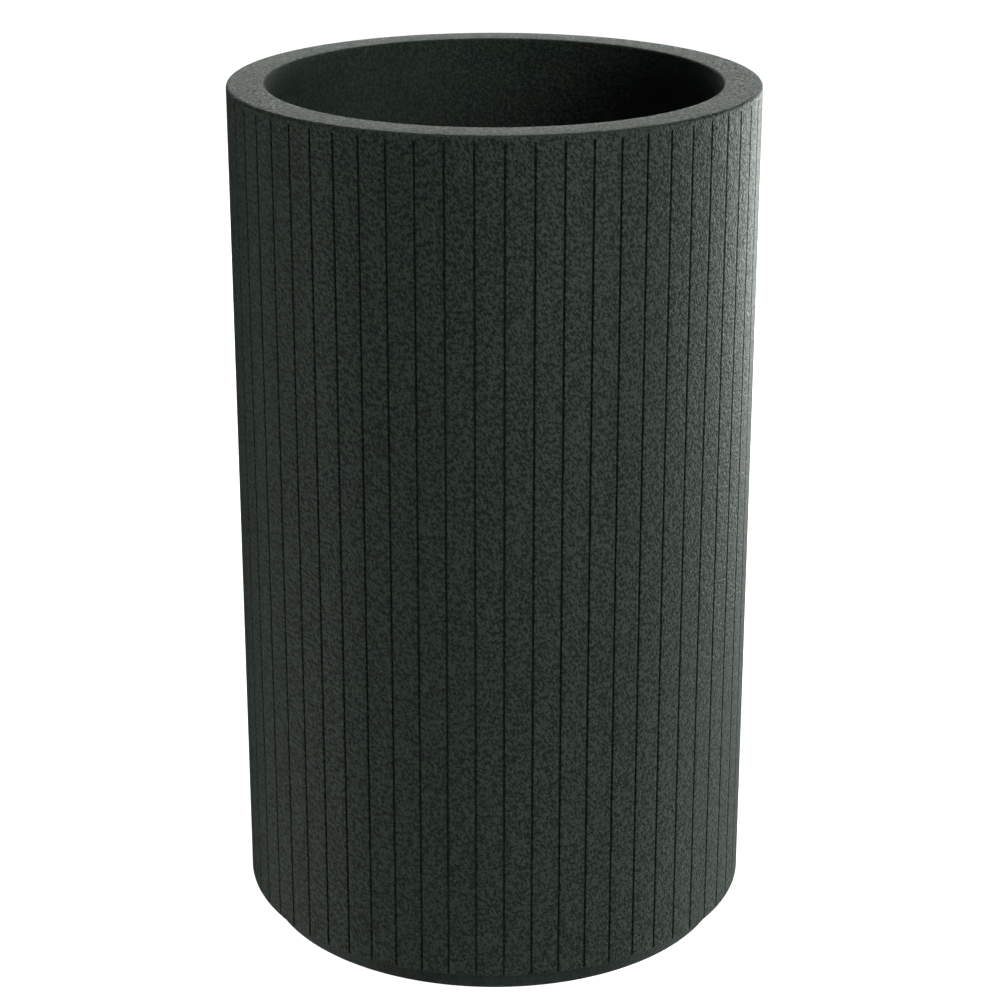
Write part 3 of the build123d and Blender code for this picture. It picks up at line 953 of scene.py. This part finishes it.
def makeLiner():
    n = liner
    builder = bmesh.new()
    builder.from_mesh(linerPot())
    for signX in (-1, 1):
        for signY in (-1, 1):
            builder.from_mesh(earBlock(signX, signY))
    places = holePlaces("linerHoles", n["holeRings"])
    piece = growPiece("linerPot", meshFrom("linerSeed", builder), holeTree, {
        "Plate Radius": n["plateEdge"],
        "Underside": linerFloor,
        "Thickness": n["wall"],
        "Edge Points": n["steps"],
        "Hole Radius": n["hole"],
        "Hole Points": n["holeSteps"],
        "Open Edge": True,
        "Hole Places": places,
        "Finish": finishes["linerPlastic"],
    })
    bpy.data.objects.remove(places)
    return piece


linerPiece = makeLiner()
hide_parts("liner")
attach(linerPiece, "liner")
print("liner made")

# Drainage grid: perforated disc on hollow legs
gridLow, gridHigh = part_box("drainage_grid")
grid = dict(
    thick=3 * mm,
    hole=3.5 * mm,
    holeSteps=20,
    pitch=18 * mm,
    holeEdge=8 * mm,
    steps=128,
    legs=6,
    legRadius=7 * mm,
    legWall=2 * mm,
    legCircle=72 * mm,
    legStart=30,
    legSink=0.2 * mm,
    legSteps=32,
)


def makeGrid():
    g = grid
    under = gridHigh.z - g["thick"]
    rings = int((gridHigh.x - g["holeEdge"]) // g["pitch"])
    places = holePlaces("gridHoles", [(0, 1)] + [(g["pitch"] * k, 6 * k) for k in range(1, rings + 1)])
    builder = bmesh.new()
    outer, inner, top = g["legRadius"], g["legRadius"] - g["legWall"], under + g["legSink"]
    outline = [(inner, gridLow.z), (outer, gridLow.z), (outer, top), (inner, top)]
    leg = turnedMesh("leg", outline, g["legSteps"])
    for k in range(g["legs"]):
        a = radians(g["legStart"] + 360 / g["legs"] * k)
        copy = leg.copy()
        copy.transform(moved(g["legCircle"] * cos(a), g["legCircle"] * sin(a), 0))
        builder.from_mesh(copy)
    piece = growPiece("drainageGrid", meshFrom("gridLegs", builder), holeTree, {
        "Plate Radius": gridHigh.x,
        "Underside": under,
        "Thickness": g["thick"],
        "Edge Points": g["steps"],
        "Hole Radius": g["hole"],
        "Hole Points": g["holeSteps"],
        "Open Edge": False,
        "Hole Places": places,
        "Finish": finishes["gridPlastic"],
    })
    bpy.data.objects.remove(places)
    return piece


gridPiece = makeGrid()
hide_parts("drainage_grid")
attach(gridPiece, "drainage_grid")
print("grid made")

# Handles: flat bails along the flange, with a knuckle and a pivot stub at each end
handle = dict(
    width=8 * mm,
    thick=2 * liner["barHalf"],
    edge=1.6 * mm,
    arcAngle=42,
    arcSteps=56,
    endShift=0.5 * mm,
    knuckleEdge=0.5 * mm,
    stub=2.5 * mm,
    stubEdge=0.4 * mm,
    stubSteps=24,
    heelEdge=0.4 * mm,
    overhang=0.8 * mm,
)


def sweepBar(builder, path, half, tall, edge):  # a soft-edged bar along a flat path
    corners = []
    for signU, signW, start in ((1, 1, 0), (-1, 1, 90), (-1, -1, 180), (1, -1, 270)):
        corners += curveBit((signU * (half - edge), signW * (tall - edge)), edge, start, start + 90, 3)
    rings = []
    for k, point in enumerate(path):
        ahead = path[min(k + 1, len(path) - 1)] - path[max(k - 1, 0)]
        side = Vector((ahead.y, -ahead.x, 0)).normalized()
        rings.append([builder.verts.new(point + side * u + Vector((0, 0, w))) for u, w in corners])
    skinRings(builder, rings)


def crossPin(builder, y0, y1, radius, edge, steps=32):  # a round pin along Y with soft ends
    outline = [(0, y0), (radius - edge, y0), (radius, y0 + edge)]
    outline += [(radius, y1 - edge), (radius - edge, y1), (0, y1)]
    pin = turnedMesh("pin", outline, steps, closed=False)
    for v in pin.vertices:
        v.co = Vector((pivotX + v.co.x, v.co.z, pivotZ - v.co.y))
    builder.from_mesh(pin)


def makeHandle(name, side):
    h = handle
    builder = bmesh.new()
    span = h["arcAngle"]
    arc = [Vector((x, y, pivotZ)) for x, y in curveBit((0, 0), handleRadius, -span, span, h["arcSteps"])]
    low, high = (Vector((pivotX + h["endShift"], y, pivotZ)) for y in (-pivotY, pivotY))
    sweepBar(builder, [low] + arc + [high], h["width"] / 2, h["thick"] / 2, h["edge"])
    for sign in (-1, 1):
        near, far = sorted(sign * (pivotY + offset * liner["knuckle"] / 2) for offset in (-1, 1))
        crossPin(builder, near, far, h["thick"] / 2, h["knuckleEdge"])
        end = sign * (earInner + liner["earThick"] + h["overhang"])
        near, far = sorted((sign * pivotY, end))
        crossPin(builder, near, far, h["stub"], h["stubEdge"], h["stubSteps"])
        heel = blockMesh("heel", (h["thick"] / 2, liner["knuckle"], h["thick"] / 2), h["heelEdge"])
        heel.transform(moved(pivotX - h["thick"] / 2, sign * pivotY, pivotZ))
        builder.from_mesh(heel)
    if side < 0:
        builder.transform(Matrix.Rotation(pi, 4, "Z"))
    mesh = meshFrom(name, builder)
    finishMesh(mesh, 35)
    return newPiece(name, mesh, finishes["handlePlastic"])


for label, side in (("left", -1), ("right", 1)):
    piece = makeHandle(label + "Handle", side)
    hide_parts("liner_handle_" + label)
    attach(piece, "handle_" + label)
print("handles made")

# Seal and screws keep their CAD shape
for node, finish in (("base_seal", "sealRubber"), ("base_screws", "screwZinc")):
    part = frame["nodes"][node]
    part.data.materials.clear()
    part.data.materials.append(finishes[finish])

# Studio: pale floor, soft panels, camera at the photographed angle
studio = dict(
    floorSize=14,
    floorTone=(0.90, 0.90, 0.90, 1),
    floorTint=(0.93, 0.93, 0.93, 1),
    floorClouds=0.8,
    floorRough=0.9,
    floorSun=3.7,
    overhead=0.8,
    sunAngle=12,
    tint=(0.95, 1.0, 0.95),
    aim=0.3,
    away=2.4,
)
panels = dict(  # where each soft light stands round the planter, its size in metres and its power in watts
    rightRear=dict(azimuth=144, elevation=0, size=(0.9, 1.1), power=23.0),
    right=dict(azimuth=118, elevation=0, size=(0.9, 1.1), power=13.0),
    rightFront=dict(azimuth=48, elevation=28, size=(0.9, 1.1), power=13.5),
    left=dict(azimuth=-96, elevation=0, size=(0.9, 1.1), power=5.6, color=(0.88, 1.0, 0.92)),
    front=dict(azimuth=0, elevation=0, size=(0.9, 1.1), power=3.1),
    rear=dict(azimuth=180, elevation=20, size=(2.0, 0.8), power=11.0),
    rearHigh=dict(azimuth=172, elevation=38, size=(1.4, 1.0), power=5.0),
    bounceFront=dict(azimuth=0, elevation=-38, size=(2.4, 1.2), power=9.6),
    bounceLeft=dict(azimuth=-90, elevation=-38, size=(2.4, 1.2), power=9.8),
    bounceRight=dict(azimuth=90, elevation=-38, size=(2.4, 1.2), power=14.4),
)
lens = dict(focal=95.263, sensor=36, pitch=19.974, turn=2.0, away=9.829, above=1.899, shift=0.0056)


def makeFloor():  # casts nothing on the planter: the bounce panels under it do that
    material, board = newFinish("paleFloor")
    place = board.node("ShaderNodeTexCoord").out("Object")
    tone = board.blend(noise(board, place, studio["floorClouds"]), studio["floorTone"], studio["floorTint"])
    shader = board.node("ShaderNodeBsdfPrincipled", {}, {
        "Base Color": tone, "Roughness": studio["floorRough"], "Specular IOR Level": 0.0})
    board.node("ShaderNodeOutputMaterial", {}, {"Surface": shader})
    builder = bmesh.new()
    bmesh.ops.create_grid(builder, x_segments=2, y_segments=2, size=studio["floorSize"] / 2)
    floor = newPiece("floor", meshFrom("floor", builder), material)
    floor.visible_glossy = False
    floor.visible_diffuse = False
    floor.visible_shadow = False
    return floor


def newLamp(name, kind, toward, away):
    light = bpy.data.lights.new(name, kind)
    lamp = bpy.data.objects.new(name, light)
    scene.collection.objects.link(lamp)
    lamp.location = Vector((0, 0, studio["aim"])) + toward * away
    lamp.rotation_euler = toward.to_track_quat("Z", "Y").to_euler()
    return light, lamp


def makePanel(name, panel):
    a, e = radians(panel["azimuth"]), radians(panel["elevation"])
    toward = Vector((sin(a) * cos(e), -cos(a) * cos(e), sin(e)))
    light, lamp = newLamp(name, "AREA", toward, studio["away"])
    light.shape = "RECTANGLE"
    light.size, light.size_y = panel["size"]
    light.energy = panel["power"]
    light.color = panel.get("color", studio["tint"])


def makeOverhead(floor):  # one wide light for the planter from above, and one that only evens out the floor
    pieces = bpy.data.collections.new("allButFloor")
    for piece in scene.objects:
        if piece.type == "MESH" and piece != floor:
            pieces.objects.link(piece)
    ground = bpy.data.collections.new("floorOnly")
    ground.objects.link(floor)
    for name, lit in (("overhead", pieces), ("floorSun", ground)):
        light, lamp = newLamp(name, "SUN", Vector((0, 0, 1)), studio["away"])
        light.energy = studio[name]
        light.angle = radians(studio["sunAngle"])
        light.use_shadow = lit == pieces
        lamp.light_linking.receiver_collection = lit


def makeCamera():
    camera = bpy.data.cameras.new("camera")
    camera.lens = lens["focal"]
    camera.sensor_width = lens["sensor"]
    camera.shift_x = lens["shift"]
    eye = bpy.data.objects.new("camera", camera)
    scene.collection.objects.link(eye)
    turn = radians(lens["turn"])
    away = lens["away"] * outerRadius
    eye.location = (-away * sin(turn), -away * cos(turn), rimTop + lens["above"] * outerRadius)
    eye.rotation_euler = (radians(90 - lens["pitch"]), 0, -turn)
    scene.camera = eye


makeOverhead(makeFloor())
for name, panel in panels.items():
    makePanel(name, panel)
makeCamera()
scene.view_settings.view_transform = "Standard"
print("studio ready")
